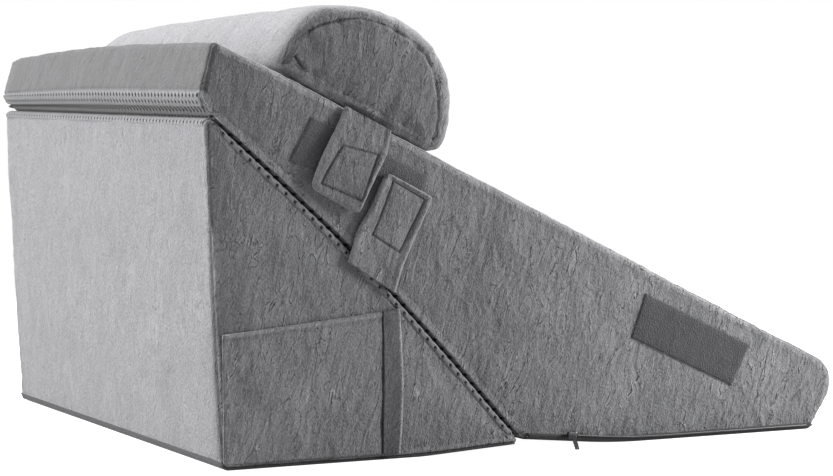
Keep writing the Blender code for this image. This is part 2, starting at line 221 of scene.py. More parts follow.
def perforatedKnit():
    # Smooth spacer knit with punched holes: flatter and a little glossier than the plush
    colour = "#87878a"
    material, tree, shader = newMaterial("perforated_knit", colour, 0.75, 0.1)
    soft = addNode(tree, "ShaderNodeTexNoise", {
        "Vector": inMillimetres(tree, (30, 30, 30)), "Scale": 1, "Detail": 2})
    knit = addNode(tree, "ShaderNodeTexNoise", {
        "Vector": inMillimetres(tree, (1.1, 2.2, 1.1)), "Scale": 1, "Detail": 2})
    # per-point tone with painted shade: darker into the gap between the wedges and inside the holes
    toneAndPaintedLight = addNode(tree, "ShaderNodeAttribute", attribute_name="toneAndPaintedLight")
    tinted(tree, shader, colour, [(soft.outputs[0], 0.2), (knit.outputs[0], 0.6)],
           toneAndPaintedLight.outputs["Fac"])
    bumped(tree, shader, [(knit.outputs[0], 0.0016)])
    return material


def nonSlipCloth():
    # Woven polyester with dots of soft plastic printed on it, 5 mm apart: dark and dull
    colour = "#1e1e20"
    material, tree, shader = newMaterial("non_slip_cloth", colour, 0.8, 0.05)
    weave = addNode(tree, "ShaderNodeTexNoise", {
        "Vector": inMillimetres(tree, (0.9, 1.4, 0.9)), "Scale": 1, "Detail": 2})
    dots = addNode(tree, "ShaderNodeTexVoronoi", {
        "Vector": inMillimetres(tree, (5, 5, 5)), "Scale": 1, "Randomness": 0.0})
    dot = addNode(tree, "ShaderNodeMapRange", {
        "Value": dots.outputs["Distance"], "From Min": 0.18, "From Max": 0.30,
        "To Min": 1.0, "To Max": 0.0})
    tinted(tree, shader, colour, [(weave.outputs[0], 0.25)])
    bumped(tree, shader, [(weave.outputs[0], 0.0005), (dot.outputs[0], 0.0004)])
    return material


def loopTape():
    # Brushed loop side of hook-and-loop tape: dense curled loops, darker than the plush
    colour = "#5c5c5f"
    material, tree, shader = newMaterial("brushed_loop_tape", colour, 0.95, 0.15)
    loops = addNode(tree, "ShaderNodeTexVoronoi", {
        "Vector": inMillimetres(tree, (1.5, 1.5, 1.5)), "Scale": 1, "Randomness": 1.0})
    soft = addNode(tree, "ShaderNodeTexNoise", {
        "Vector": inMillimetres(tree, (9, 9, 9)), "Scale": 1, "Detail": 3})
    toneAndPaintedLight = addNode(tree, "ShaderNodeAttribute", attribute_name="toneAndPaintedLight")
    tinted(tree, shader, colour, [(loops.outputs["Distance"], 0.45), (soft.outputs[0], 0.25)],
           toneAndPaintedLight.outputs["Fac"])
    bumped(tree, shader, [(loops.outputs["Distance"], 0.0008)])
    return material


def nylonCoil():
    # Extruded nylon monofilament, dyed black: a small soft gloss on each turn
    return newMaterial("black_nylon_coil", "#2a2a2c", 0.45)[0]


def lacqueredZinc():
    # Die-cast zinc under dark lacquer: satin, with worn lighter edges
    colour = "#48484b"
    material, tree, shader = newMaterial("dark_lacquered_zinc", colour, 0.38, 0, 1.0)
    speckle = addNode(tree, "ShaderNodeTexNoise", {
        "Vector": inMillimetres(tree, (1.2, 1.2, 1.2)), "Scale": 1, "Detail": 3})
    edge = addNode(tree, "ShaderNodeNewGeometry")
    worn = addNode(tree, "ShaderNodeMapRange", {
        "Value": edge.outputs["Pointiness"], "From Min": 0.50, "From Max": 0.58})
    tinted(tree, shader, colour, [(speckle.outputs[0], 0.2), (worn.outputs[0], 0.25)])
    bumped(tree, shader, [(speckle.outputs[0], 0.00008)])
    return material


print("materials")
finish = {
    "plush": shortPilePlush(),
    "perforated_cloth": perforatedKnit(),
    "base_cloth": nonSlipCloth(),
    "loop_tape": loopTape(),
    "zip_tape": nylonCoil(),
    "zip_metal": lacqueredZinc(),
}


# Noise and tables, all in numpy

dice = np.random.default_rng(pillowSet["seed"])
shuffled = np.tile(dice.permutation(256), 2)
directions = dice.normal(size=(256, 3))
directions /= np.linalg.norm(directions, axis=1)[:, None]


def gradientNoise(points):
    # Smooth noise, about -1..1, with features one unit apart
    cell = np.floor(points).astype(int)
    part = points - cell
    fade = part ** 3 * (part * (part * 6 - 15) + 10)
    total = np.zeros(len(points))
    for corner in np.ndindex(2, 2, 2):
        at = (cell + corner) & 255
        turn = directions[shuffled[shuffled[shuffled[at[:, 0]] + at[:, 1]] + at[:, 2]]]
        dot = ((part - corner) * turn).sum(1)
        weight = np.where(corner, fade, 1 - fade).prod(1)
        total += weight * dot
    return total * 1.6


def layeredNoise(points):
    # Two layers, the second half the size and half the strength of the first
    return gradientNoise(points) + 0.5 * gradientNoise(points * 2 + 17.3)


def creases(points, sharp):
    # Thin wandering ridges, 0..1, where the noise passes through zero
    return np.clip(1 - np.abs(gradientNoise(points)) * sharp, 0, 1) ** 2


def flatPoints(across, along, level=0.0):
    # Places on a flat piece as the noises take them; each level has a pattern of its own
    return np.column_stack([across, np.full(len(across), level), along])


def smoothTable(table, at, column):
    # A smooth curve through one column of a table, over its first column
    rows = np.array(table)
    xs, ys = rows[:, 0], rows[:, column]
    rise = np.gradient(ys, xs)
    i = np.clip(np.searchsorted(xs, at) - 1, 0, len(xs) - 2)
    h = xs[i + 1] - xs[i]
    t = np.clip((at - xs[i]) / h, 0, 1)
    start = (1 + 2 * t) * (1 - t) ** 2 * ys[i] + t * (1 - t) ** 2 * h * rise[i]
    return start + t * t * (3 - 2 * t) * ys[i + 1] + t * t * (t - 1) * h * rise[i + 1]


def bell(distance, width):
    return np.exp(-(distance / width) ** 2)


def toLine(flat, line):
    # Distance from each flat point to a line of points, and how far along the line it is
    away, along, run = np.full(len(flat), 1e9), np.zeros(len(flat)), 0.0
    for a, b in zip(line[:-1], line[1:]):
        step = b - a
        size = np.linalg.norm(step)
        t = np.clip(((flat - a) @ step) / size ** 2, 0, 1)
        found = np.linalg.norm(flat - a - t[:, None] * step, axis=1)
        along = np.where(found < away, run + t * size, along)
        away = np.minimum(away, found)
        run += size
    return away, along


# Outlines

def alongSlope(s, n):
    # s metres down the lying slope and n metres above it
    fall = slope["fall"]
    x = slope["top"][0] + s * cos(fall) + n * sin(fall)
    return x, slope["top"][1] - s * sin(fall) + n * cos(fall)


def partingLine(lift):
    toe, top = Vector(parting["toe"]), Vector(parting["top"])
    up = Vector((top.y - toe.y, toe.x - top.x)).normalized()
    points = []
    for k in range(parting["steps"] + 1):
        t = k / parting["steps"]
        rise = parting["bow"] * sin(pi * t) ** parting["fullness"]
        points.append(toe.lerp(top, t) + up * (rise + lift))
    return points


def roundedOutline(corners):
    # Corners are name, x, z, radius, puff, droop and the step of the run that follows.
    # The outline is anticlockwise seen from the near side.
    count = len(corners)
    raw = []
    for i, (name, x, z, radius, puff, droop, step) in enumerate(corners):
        here = Vector((x, z))
        before = (Vector(corners[i - 1][1:3]) - here).normalized()
        after = (Vector(corners[(i + 1) % count][1:3]) - here).normalized()
        half = before.angle(after) / 2
        if radius <= 0 or half > radians(89.7):
            raw.append((name, here, puff, droop, step))
            continue
        reach = radius / tan(half)
        centre = here + (before + after).normalized() * (radius / sin(half))
        start = here + before * reach - centre
        turn = pi - 2 * half
        pieces = max(3, ceil(turn * radius / pillowSet["cornerStep"]))
        for k in range(pieces + 1):
            spoke = start.copy()
            spoke.rotate(Matrix.Rotation(turn * k / pieces, 2))
            raw.append((name, centre + spoke, puff, droop, 1 if k < pieces else step))
    rows = []
    for i, (name, here, puff, droop, step) in enumerate(raw):
        there = raw[(i + 1) % len(raw)]
        pieces = max(1, round((there[1] - here).length / step))
        for k in range(pieces):
            t = k / pieces
            at = here.lerp(there[1], t)
            rows.append((name, "" if k else name, at.x, at.y, puff + (there[2] - puff) * t,
                         droop + (there[3] - droop) * t))
    return rows


def makeForm(corners, sections, shape):
    # Everything that says where a filled form's surface is
    rows = roundedOutline(corners)
    values = np.array([row[2:] for row in rows])
    xz = values[:, :2]
    steps = np.linalg.norm(np.roll(xz, -1, 0) - xz, axis=1)
    run = (np.roll(xz, -1, 0) - xz) / steps[:, None]
    run = run + np.roll(run, 1, 0)
    run /= np.linalg.norm(run, axis=1)[:, None]
    zones = np.array([row[0] for row in rows])
    along = np.concatenate([[0], np.cumsum(steps)])
    met = along[:-1][zones == "slope"]
    ease = np.zeros(len(rows))
    if len(met):
        # eased in over 20 mm from each end of the slope
        ease = np.clip(np.minimum(along[:-1] - met.min(), met.max() - along[:-1]) / 0.02, 0, 1)
    rounder = np.isin(zones, shape["roundZones"]).astype(float)
    for _ in range(4):
        rounder = (rounder + np.roll(rounder, 1) + np.roll(rounder, -1)) / 3
    full = np.column_stack([values, run[:, 1], -run[:, 0], ease, rounder])
    reach = pillowSet["width"] / 2 - shape["rim"]
    return {
        **shape,
        "zones": zones,
        "corners": [row[1] for row in rows],
        "along": along,
        "edge": np.vstack([full, full[:1]]),
        "sections": sections,
        "reach": reach,                     # half the width between the rims
        "low": sections[0][0] * reach,
        "high": sections[-1][0] * reach,
        "arc": shape["rim"] * pi / 2,       # a rim's depth, unrolled
    }


def onForm(form, s, v, lift=0.0):
    # Points and outward directions at s along the outline and v over the width, where
    # the rims are unrolled: the near end panel starts at low - arc
    s = np.mod(s, form["along"][-1])
    columns = [np.interp(s, form["along"], form["edge"][:, k]) for k in range(8)]
    x, z, puff, droop, nx, nz, ease, rounder = columns
    size = np.hypot(nx, nz)
    nx, nz = nx / size, nz / size
    y = np.clip(v, form["low"], form["high"])
    tilt = np.clip((v - y) / form["rim"], -pi / 2, pi / 2)
    share = y / form["reach"]
    swell = form["puff"] * puff * smoothTable(form["sections"], share, 1) - form["rim"]
    swell -= form["slit"] * ease * (bell(y - form["low"], 0.04) + bell(y - form["high"], 0.04))
    sag = form["droop"] * droop * smoothTable(form["sections"], share, 2)
    flat, deep = np.abs(np.cos(tilt)) + 1e-9, np.abs(np.sin(tilt)) + 1e-9
    share = form["square"] * (1 - form["tight"] * ease)
    share, turn = share + (1 - share) * rounder, np.sign(tilt)
    core = np.stack([x + nx * swell, y, z + nz * swell - sag], -1)
    core += form["rim"] * np.stack(
        [nx * flat ** share, turn * deep ** share, nz * flat ** share], -1)
    flat, deep = flat ** (2 - share), deep ** (2 - share)
    size = np.hypot(flat, deep)
    out = np.stack([nx * flat, turn * deep, nz * flat], -1) / size[:, None]
    return core + out * np.broadcast_to(lift, s.shape)[:, None], out


def placeOf(form, name, last=False):
    # How far along the outline the first or last point of that name is
    found = [i for i, n in enumerate(form["corners"]) if n == name]
    return form["along"][found[-1 if last else 0]]


# Meshes

def newPiece(name, points, faces, material, tones, replaced=()):
    mesh = bpy.data.meshes.new(name)
    mesh.from_pydata((np.asarray(points) + shift).tolist(), [], faces)
    mesh.materials.append(finish[material])
    layer = mesh.attributes.new("toneAndPaintedLight", "FLOAT", "POINT")
    layer.data.foreach_set("value", np.asarray(tones, np.float32))
    mesh.validate()
    mesh.shade_smooth()
    piece = bpy.data.objects.new(name, mesh)
    bpy.context.scene.collection.objects.link(piece)
    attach(piece, "root")
    if replaced:
        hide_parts(*replaced)
    return piece


def cleaned(piece):
    # All faces turned to look outwards
    mesh = bmesh.new()
    mesh.from_mesh(piece.data)
    bmesh.ops.recalc_face_normals(mesh, faces=mesh.faces)
    mesh.to_mesh(piece.data)
    mesh.free()
    return piece


def insideRing(points, ring):
    # Which points lie inside the closed ring
    inside = np.zeros(len(points), bool)
    for a, b in zip(ring, np.roll(ring, -1, 0)):
        spans = (a[1] > points[:, 1]) != (b[1] > points[:, 1])
        if spans.any():
            cut = a[0] + (points[:, 1] - a[1]) * (b[0] - a[0]) / (b[1] - a[1] + 1e-15)
            inside ^= spans & (points[:, 0] < cut)
    return inside


def nearestOn(ring, points):
    # Distance to the ring's nearest point, and which one it is
    distance, which = np.full(len(points), 1e9), np.zeros(len(points), int)
    for start in range(0, len(points), 2000):
        block = points[start:start + 2000]
        apart = np.linalg.norm(block[:, None] - ring[None], axis=2)
        which[start:start + 2000] = apart.argmin(1)
        distance[start:start + 2000] = apart.min(1)
    return distance, which


def filledPanel(ring, spacing):
    # Even triangles inside a closed ring of x, z points: the inner points and the faces,
    # whose first len(ring) indices are the ring's own
    low, high = ring.min(0), ring.max(0)
    rise = spacing * sin(pi / 3)
    rows = []
    for j, z in enumerate(np.arange(low[1] + rise / 2, high[1], rise)):
        xs = np.arange(low[0] + (j % 2) * spacing / 2, high[0], spacing)
        rows.append(np.column_stack([xs, np.full(len(xs), z)]))
    grid = np.vstack(rows)
    grid = grid[insideRing(grid, ring)]
    grid = grid[nearestOn(ring, grid)[0] > spacing * 0.55]
    flat = np.vstack([ring, grid]) * 1000
    count = len(ring)
    made = delaunay_2d_cdt([Vector(p) for p in flat], [(i, (i + 1) % count) for i in range(count)],
                           [], 1, 1e-6)
    owner = [ids[0] if ids else -1 for ids in made[3]]
    faces = [tuple(owner[i] for i in face) for face in made[2]]
    return grid, [f for f in faces if min(f) >= 0]


def straightened(ring, outline):
    # Takes out the small loops of a ring that is drawn in past a tight corner
    ring = ring.copy()
    for _ in range(24):
        run = np.roll(ring, -1, 0) - ring
        back = (run * (np.roll(outline, -1, 0) - outline)).sum(1) < 0
        if not back.any():
            break
        for i in np.nonzero(back)[0]:
            j = (i + 1) % len(ring)
            ring[i] = ring[j] = (ring[i] + ring[j]) / 2
    # points that have met are spread a little, so that no face has no area
    for _ in range(3):
        run = np.linalg.norm(np.roll(ring, -1, 0) - ring, axis=1)
        tight = (run < 2e-4) | (np.roll(run, 1) < 2e-4)
        middle = (np.roll(ring, 1, 0) + np.roll(ring, -1, 0)) / 2
        ring[tight] = middle[tight]
    return ring


def widths(form, spacing):
    # The rows over the width: fine steps round both rims, even ones between
    turns = np.linspace(0, form["arc"], 7)[1:]
    count = ceil((form["high"] - form["low"]) / spacing) + 1
    rows = np.linspace(form["low"], form["high"], count)
    return np.concatenate([form["low"] - turns[::-1], rows, form["high"] + turns])


def cushion(name, form, look):
    # The filled form as one closed mesh. Relief and tone take the body's points, or an end
    # panel's with s the nearest place on the outline and v the distance to it.
    relief, tone = coverRelief(form, look), coverTone(form, look)
    vs = widths(form, look["spacing"])
    edge, along, zones = form["edge"][:-1], form["along"][:-1], form["zones"]
    count = len(edge)
    rings, outs = [], []
    for v in vs:
        points, out = onForm(form, along, np.full(count, v))
        if v < form["low"] or v > form["high"]:
            points[:, [0, 2]] = straightened(points[:, [0, 2]], edge[:, :2])
        rings.append(points)
        outs.append(out)
    points, out = np.vstack(rings), np.vstack(outs)
    body = np.tile(along, len(vs)), np.repeat(vs, count), np.tile(zones, len(vs))
    tones = [tone("body", points, *body)]
    allPoints = [points + out * relief("body", points, *body)[:, None]]
    i = np.arange(count)
    j = (i + 1) % count
    faces = []
    for k in range(len(vs) - 1):
        a, b = k * count, (k + 1) * count
        faces += np.column_stack([a + i, b + i, b + j, a + j]).tolist()
    total = len(points)
    ends = (
        (-1, "near", rings[0], 0, look["panelSpacing"]),
        (1, "far", rings[-1], total - count, 3 * look["panelSpacing"]),
    )
    for side, kind, ring, first, step in ends:
        flat = ring[:, [0, 2]]
        grid, made = filledPanel(flat, step)
        distance, which = nearestOn(flat, grid)
        # the crown falls off from the middle of the panel to its edge
        middle = flat.mean(0)
        spokes = flat - middle
        angle = np.arctan2(spokes[:, 1], spokes[:, 0])
        order = np.argsort(angle)
        reach = np.interp(np.arctan2(*(grid - middle).T[::-1]), angle[order],
                          np.linalg.norm(spokes, axis=1)[order], period=2 * pi)
        share = np.clip(np.linalg.norm(grid - middle, axis=1) / reach, 0, 1)
        y = ring[which, 1] + side * form["crown"] * (1 - share ** 2)
        inner = np.column_stack([grid[:, 0], y, grid[:, 1]])
        panel = along[which], distance, zones[which]
        tones.append(tone(kind, inner, *panel))
        inner[:, 1] += side * relief(kind, inner, *panel)
        allPoints.append(inner)
        index = np.concatenate([np.arange(first, first + count), total + np.arange(len(grid))])
        faces += [[int(index[q]) for q in face][::-side] for face in made]
        total += len(grid)
    return newPiece(name, np.vstack(allPoints), faces, "plush", np.concatenate(tones))


def sheetBetween(name, front, back, material, tones, replaced):
    # A closed sheet between two grids of points, shape (rows, columns, 3)
    rows, columns = front.shape[:2]
    number = np.arange(rows * columns).reshape(rows, columns)
    a, b, c, d = number[:-1, :-1], number[:-1, 1:], number[1:, 1:], number[1:, :-1]
    quads = np.stack([a, d, c, b], -1).reshape(-1, 4)
    under = quads[:, ::-1] + rows * columns
    rim = np.concatenate([number[:-1, 0], number[-1, :-1], number[1:, -1][::-1],
                          number[0, 1:][::-1]])
    after = np.roll(rim, -1)
    sides = np.column_stack([rim, rim + rows * columns, after + rows * columns, after])
    points = np.vstack([front.reshape(-1, 3), back.reshape(-1, 3)])
    faces = np.vstack([quads, under, sides]).tolist()
    return cleaned(newPiece(name, points, faces, material, np.tile(tones, 2), replaced))


# The wedges' outlines: name, x, z, radius, puff, droop, step after it

def lowerCorners():
    line = partingLine(-pillowSet["gap"] / 2 - recess)
    corners = [
        ("foot", 0.0, recess, 0.008, 0, 0, 0.010),
        ("lift", 0.2150, recess, 0.250, 0, 0, 0.010),
        ("toe", line[0].x, line[0].y, 0.0032, 0, 0, 0.006),
    ]
    corners += [("slope", p.x, p.y, 0, 0, 0, 0.020) for p in line[1:-1]]
    corners += [
        ("top", line[-1].x, line[-1].y, 0.0056, 0, 0, 0.003),
        ("back", -0.0110, 0.2300, 0, 1, 0, 0.003),
        ("back", -0.0055, 0.1100, 0, 1, 0, 0.003),
    ]
    return corners


def upperCorners():
    line = partingLine(pillowSet["gap"] / 2 + recess)
    bare = partingLine(pillowSet["gap"] / 2)[-1]
    toe = line[0]
    lift = 0.0974            # the base rises this steeply towards the crotch
    zipStart = 0.3860
    corners = [
        ("crotch", toe.x + recess, toe.y + recess, 0.003, 0, 0, 0.006),
        ("zip", zipStart, toe.y + recess - (zipStart - toe.x - recess) * lift, 0, 0, 0, 0.008),
        ("land", toe.x + recess + toe.y / lift, recess, 0.700, 0, 0, 0.008),
        ("heel", 0.6735, recess, 0.006, 0, 0, 0.003),
        ("nose", 0.7128, 0.0615, 0.029, 0, 0, 0.004),
        ("lying", *alongSlope(0.590, -0.0020), 0, 0.4, 0, 0.004),
        ("lying", *alongSlope(0.430, 0.0000), 0, 0.4, 0, 0.004),
        ("lying", *alongSlope(0.280, 0.0014), 0, 0, 0, 0.004),
        ("lying", *alongSlope(0.180, 0.0026), 0, 0, 0.08, 0.004),
        ("lying", *alongSlope(0.110, 0.0036), 0, 0, 0.15, 0.004),
        ("lying", *alongSlope(0.045, 0.0042), 0, 0, 0.6, 0.004),
        ("crest", *alongSlope(-0.013, 0.0024), 0.0060, 0, 1, 0.003),
        ("seam", -0.0200, 0.3585, 0, 0.5, 0.5, 0.003),
        ("bulge", -0.0200 + recess, 0.3495, 0.016, 0.2, 0.3, 0.003),
        ("lip", -0.0125 + recess, bare.y - 0.0015 + recess, 0.0045, 0, 0, 0.006),
    ]
    corners += [("slope", p.x, p.y, 0, 0, 0, 0.020) for p in line[-2:0:-1]]
    return corners


# The bolster's end in slope coordinates, from its upper foot along the seat and round.
# Up to the row seatEnd it is the seat, and then the arch.
seatEnd = 5
bolsterEnd = (
    (0.0590, 0.0100), (0.0800, 0.0066), (0.1150, 0.0045), (0.1550, 0.0032), (0.1980, 0.0026),
    (0.2330, 0.0028), (0.2436, 0.0056), (0.2496, 0.0104), (0.2522, 0.0165), (0.2528, 0.0235),
    (0.2518, 0.0322), (0.2494, 0.0418), (0.2462, 0.0510), (0.2420, 0.0600), (0.2306, 0.0755),
    (0.2160, 0.0898), (0.1955, 0.1008), (0.1808, 0.1045), (0.1622, 0.1062), (0.1367, 0.1046),
    (0.1145, 0.0990), (0.0925, 0.0892), (0.0775, 0.0795), (0.0665, 0.0660), (0.0610, 0.0480),
    (0.0588, 0.0280), (0.0582, 0.0170),
)


def bolsterCorners():
    # The end, made three times as fine. The seat neither swells nor droops, and the arch
    # does so fully from 0.1 m above the slope.
    table = [(k, *row) for k, row in enumerate((*bolsterEnd, bolsterEnd[0]))]
    at = np.arange(0, len(bolsterEnd), 1 / 3)
    corners = []
    for t, s, n in zip(at, smoothTable(table, at, 1), smoothTable(table, at, 2)):
        name = "arch" if t > seatEnd else "seat"
        full = min(max(n / 0.1, 0), 1) if t > seatEnd else 0
        corners.append((name, *alongSlope(s, n), 0, full, full, 0.006))
    return corners


print("forms")
wedgeShape = {
    "rim": 0.007,               # depth of the sewn edge round an end panel
    "square": 0.55,             # 1 makes the edges round, less makes them square
    "tight": 0.0,               # squarer still beside the slope zone
    "roundZones": (),           # zones with round edges all the same
    "puff": 0.003,              # swell of a free face
    "crown": 0.003,             # swell of an end panel
    "droop": 0.0,               # how far the far end hangs
    "slit": 0.0008,             # how far the slope zone draws back beside its seams
}
bolsterShape = {
    **wedgeShape, "rim": 0.011, "square": 1.0, "puff": 0.008, "crown": 0.006, "droop": 0.013,
    "slit": 0.0,
}
lowerForm = makeForm(lowerCorners(), wedgeSections, {**wedgeShape, "roundZones": ("back",)})
upperForm = makeForm(upperCorners(), wedgeSections,
                     {**wedgeShape, "droop": 0.0100, "slit": 0.00016, "tight": 0.65})
bolsterForm = makeForm(bolsterCorners(), bolsterSections, bolsterShape)


# Relief of the filled covers: soft swells, crumpled pile, puckers along the seams

wedgeCloth = {
    "swell": 0.0007, "swellSize": 0.060,       # slow unevenness of the filling
    "crumple": 0.00065, "crumpleSize": 0.014,  # short wandering creases in the pile
    "crumpleTall": 2.3,                        # how much longer they are up and down
    "warpSize": 0.045, "patchSize": 0.070,     # of their wander, and of where they are strong
    "pucker": 0.0007, "puckerSize": 0.010, "puckerTall": 0.05, "puckerReach": 0.016,
    "seam": 0.0012, "seamWidth": 0.0016,       # how deep a seam draws in
    "crossWidth": 0.0020, "fold": 0.0010, "foldWidth": 0.0016,
}
bolsterCloth = {**wedgeCloth, "pucker": 0.0028, "puckerSize": 0.013, "puckerReach": 0.026,
                "seam": 0.0018}

# What a cover can have. Each cushion's own dictionary says what it has.
plainLook = {
    "cloth": wedgeCloth,
    "calm": {},                 # how much of the crumple each zone and end panel takes
    "seams": {},                # how far round the rim the side seam runs, by zone
    "line": None,               # or x, z points that the near panel is sewn in along
    "cross": (),                # seams across the width, by place along the outline
    "ends": {},                 # how far each zone draws in towards the far end
    "gathers": (0, 1, 0),       # where the puckers are deeper, over what length, how much
    "folds": (),                # creases on the near panel, as x, z points
    "tones": {},                # the pile's tone in each zone and on each end panel, partly painted light and shade face by face
    "covered": (0, 0, 0),       # painted shade, nearly black, under a punched panel: from, to, how far round the rim
    "pale": ((0, 0),),          # painted highlight along the rims where positive, painted shade where negative
    "seamed": 0.0,              # how much painted shade darkens the sewn line
    "along": ((0, 1),),         # painted shade as further tones along the outline
    "sideways": ((0, 1),),      # painted light and shade over the near panel from left to right
    "marks": {},                # how much painted shade and painted highlight lie on the near panel's line along it
}


def crumpled(points, cloth):
    # Wandering creases, longer up and down than across, and stronger in patches
    warp = np.column_stack([layeredNoise(points / cloth["warpSize"] + k * 31.7) for k in range(3)])
    size = np.array([1, 1, cloth["crumpleTall"]]) * cloth["crumpleSize"]
    squeezed = points / size + warp * 0.9
    patches = np.clip(0.6 + layeredNoise(points / cloth["patchSize"] + 5.1), 0.15, 1.2)
    return (creases(squeezed, 3.2) + 0.6 * creases(squeezed * 1.9 + 9.0, 3.0) - 0.35) * patches


def puckers(s, distance, cloth):
    # Short folds that run out from a seam
    at = flatPoints(s / cloth["puckerSize"], distance / cloth["puckerTall"])
    return gradientNoise(at) * np.exp(-distance / cloth["puckerReach"])


def farEnd(form, v):
    # 0 up to 30 mm before the far rim, 1 where that rim ends
    return np.clip((v - form["high"] + 0.030) / 0.041, 0, 1) ** 2


def coverRelief(form, look):
    # The height to add to a cushion's cover
    cloth, line, calm = look["cloth"], look["line"], look["calm"]
    gatherAt, gatherLength, gatherMore = look["gathers"]

    def height(kind, points, s, v, zone):
        flat = points[:, [0, 2]]
        body = kind == "body"
        calmness = np.array([calm.get(z, 1.0) for z in zone]) if body else calm.get(kind, 1.0)
        total = cloth["swell"] * layeredNoise(points / cloth["swellSize"])
        total += cloth["crumple"] * crumpled(points, cloth) * calmness
        if body:
            total -= np.array([look["ends"].get(z, 0.0) for z in zone]) * farEnd(form, v)
            turn = form["arc"] * np.array([look["seams"].get(z, 0.5) for z in zone])
            nearSeam = np.abs(v - form["low"] + turn)
            if line is not None:
                nearSeam = np.where(v < form["low"], toLine(flat, line)[0], 1.0)
            fromSeam = np.minimum(nearSeam, np.abs(v - form["high"] - turn))
            total -= cloth["seam"] * bell(fromSeam, cloth["seamWidth"])
            for at in look["cross"]:
                total -= cloth["seam"] * 1.3 * bell(s - at, cloth["crossWidth"])
        elif kind == "near" and line is not None:
            fromSeam, s = toLine(flat, line)
            total -= cloth["seam"] * bell(fromSeam, cloth["seamWidth"])
        else:
            fromSeam = v + form["arc"] * 0.5
        if kind == "near":
            for fold in look["folds"]:
                total -= cloth["fold"] * bell(toLine(flat, np.array(fold))[0], cloth["foldWidth"])
        deeper = 1 + gatherMore * bell(s - gatherAt, gatherLength)
        total += cloth["pucker"] * deeper * puckers(s, fromSeam, cloth)
        return total
    return height


def coverTone(form, look):
    # The tone of the pile with painted light and shade: 1 is the plush's own colour
    line, tones, seamed = look["line"], look["tones"], look["seamed"]
    start, end, turn = look["covered"]
    reach = turn * form["arc"]

    def tone(kind, points, s, v, zone):
        if kind == "near" and line is not None:
            # painted shade and painted highlight along the sewn line
            away, run = toLine(points[:, [0, 2]], line)
            dark, light = (np.interp(run, *zip(*look["marks"][key])) for key in ("dark", "light"))
            sewn = 1 - 0.80 * dark * bell(away, 0.0013) + 0.50 * light * bell(away - 0.0008, 0.0012)
            return tones.get(kind, 1.0) * sewn
        if kind != "body":
            level = tones.get(kind, 1.0)
            if kind == "near":
                # painted light and shade: darker by the left edge, lighter towards the nose
                level = level * np.interp(points[:, 0], *zip(*look["sideways"]))
            # a soft shade where the panel runs into its seam
            return level * (1 - 0.30 * seamed * np.exp(-v / 0.006))
        found = np.array([tones.get(z, 1.0) for z in zone])
        around = np.maximum(form["low"] - v, v - form["high"]) / form["arc"]
        sewn = np.array([look["seams"].get(z, 0.5) for z in zone])
        # painted highlights are a narrow line on the rim, painted shade fades in softly
        rimLightShade = np.interp(s, *zip(*look["pale"]))
        found = found * (1 + rimLightShade * bell(around - 0.40, np.where(rimLightShade > 0, 0.45, 1.1)))
        # painted shade in the seam's groove
        found = found * (1 - seamed * bell((around - sewn) * form["arc"], 0.0012))
        # painted shade further along the outline
        found = found * np.interp(s, *zip(*look["along"]))
        # painted shade, nearly black, on the cover under a punched panel between the wedges
        under = (s > start) & (s < end) & (v > form["low"] - reach) & (v < form["high"] + reach)
        return np.where(under, 0.04, found)
    return tone


print("lower wedge")
lowerTop, lowerSeam = placeOf(lowerForm, "top"), placeOf(lowerForm, "top", last=True)
lowerToe, lowerBack = placeOf(lowerForm, "toe", last=True), placeOf(lowerForm, "back")
lowerLook = {
    **plainLook,
    "spacing": 0.004, "panelSpacing": 0.0023,
    "calm": {"back": 0.35, "top": 0.2, "slope": 0.0, "foot": 0.2, "lift": 0.0, "near": 0.8,
             "far": 0.8},
    "seams": {"slope": 0.5, "top": 0.8},
    "tones": {"back": 0.82, "top": 0.82, "near": 0.88},
    "covered": (lowerToe + 0.008, lowerTop - 0.014, 0.86),
    "pale": ((lowerTop, 0.15), (lowerBack + 0.03, 0.15), (lowerBack + 0.12, -0.22),
             (lowerBack + 0.26, -0.40)),
    "seamed": 0.6,
    "sideways": ((0.0, 0.90), (0.05, 0.98), (0.15, 0.89), (0.28, 1.06)),
}
lowerWedge = cushion("lower_cushion", lowerForm, lowerLook)
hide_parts("lower_wedge")

print("upper wedge")
upperSeam, upperLip = placeOf(upperForm, "seam"), placeOf(upperForm, "lip", last=True)
upperLying, upperCrest = placeOf(upperForm, "lying"), placeOf(upperForm, "crest")
upperLook = {
    **plainLook,
    "spacing": 0.0045, "panelSpacing": 0.0019,
    "calm": {"crest": 0.7, "seam": 0.4, "lying": 0.5, "slope": 0.0, "land": 0.0, "near": 1.3,
             "far": 1.0},
    "seams": {"slope": 0.05, "lip": 0.3},
    "cross": (upperSeam,),
    "ends": {"crest": 0.003, "seam": 0.003, "bulge": 0.003, "lip": 0.003, "slope": 0.002},
    "gathers": (upperLying, 0.06, 2.2),
    "folds": (                  # they fan out beside the nose
        ((0.6129, 0.0354), (0.6272, 0.0515), (0.6503, 0.0664)),
        ((0.6186, 0.0298), (0.6398, 0.0530), (0.6638, 0.0703)),
        ((0.6457, 0.0325), (0.6590, 0.0445), (0.6760, 0.0567)),
        ((0.6010, 0.0329), (0.6046, 0.0495), (0.6094, 0.0651)),
        ((0.6060, 0.0273), (0.6122, 0.0439), (0.6196, 0.0583)),
        ((0.6313, 0.0248), (0.6464, 0.0335), (0.6666, 0.0473)),
    ),
    # the crest is painted dark: partly the lay of the pile, partly painted shade
    "tones": {"crest": 0.29, "near": 0.90},
    "covered": (upperSeam + 0.004, 9.0, 0.1),
    "pale": ((placeOf(upperForm, "heel"), 0.0), (upperLying, 0.9), (upperCrest - 0.08, 0.75),
             (upperCrest, 0.35)),
    "seamed": 0.6,
    "sideways": ((-0.01, 0.88), (0.10, 0.95), (0.28, 0.91), (0.46, 1.12), (0.70, 1.06)),
}
upperWedge = cushion("upper_cushion", upperForm, upperLook)
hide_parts("upper_wedge")

print("bolster")
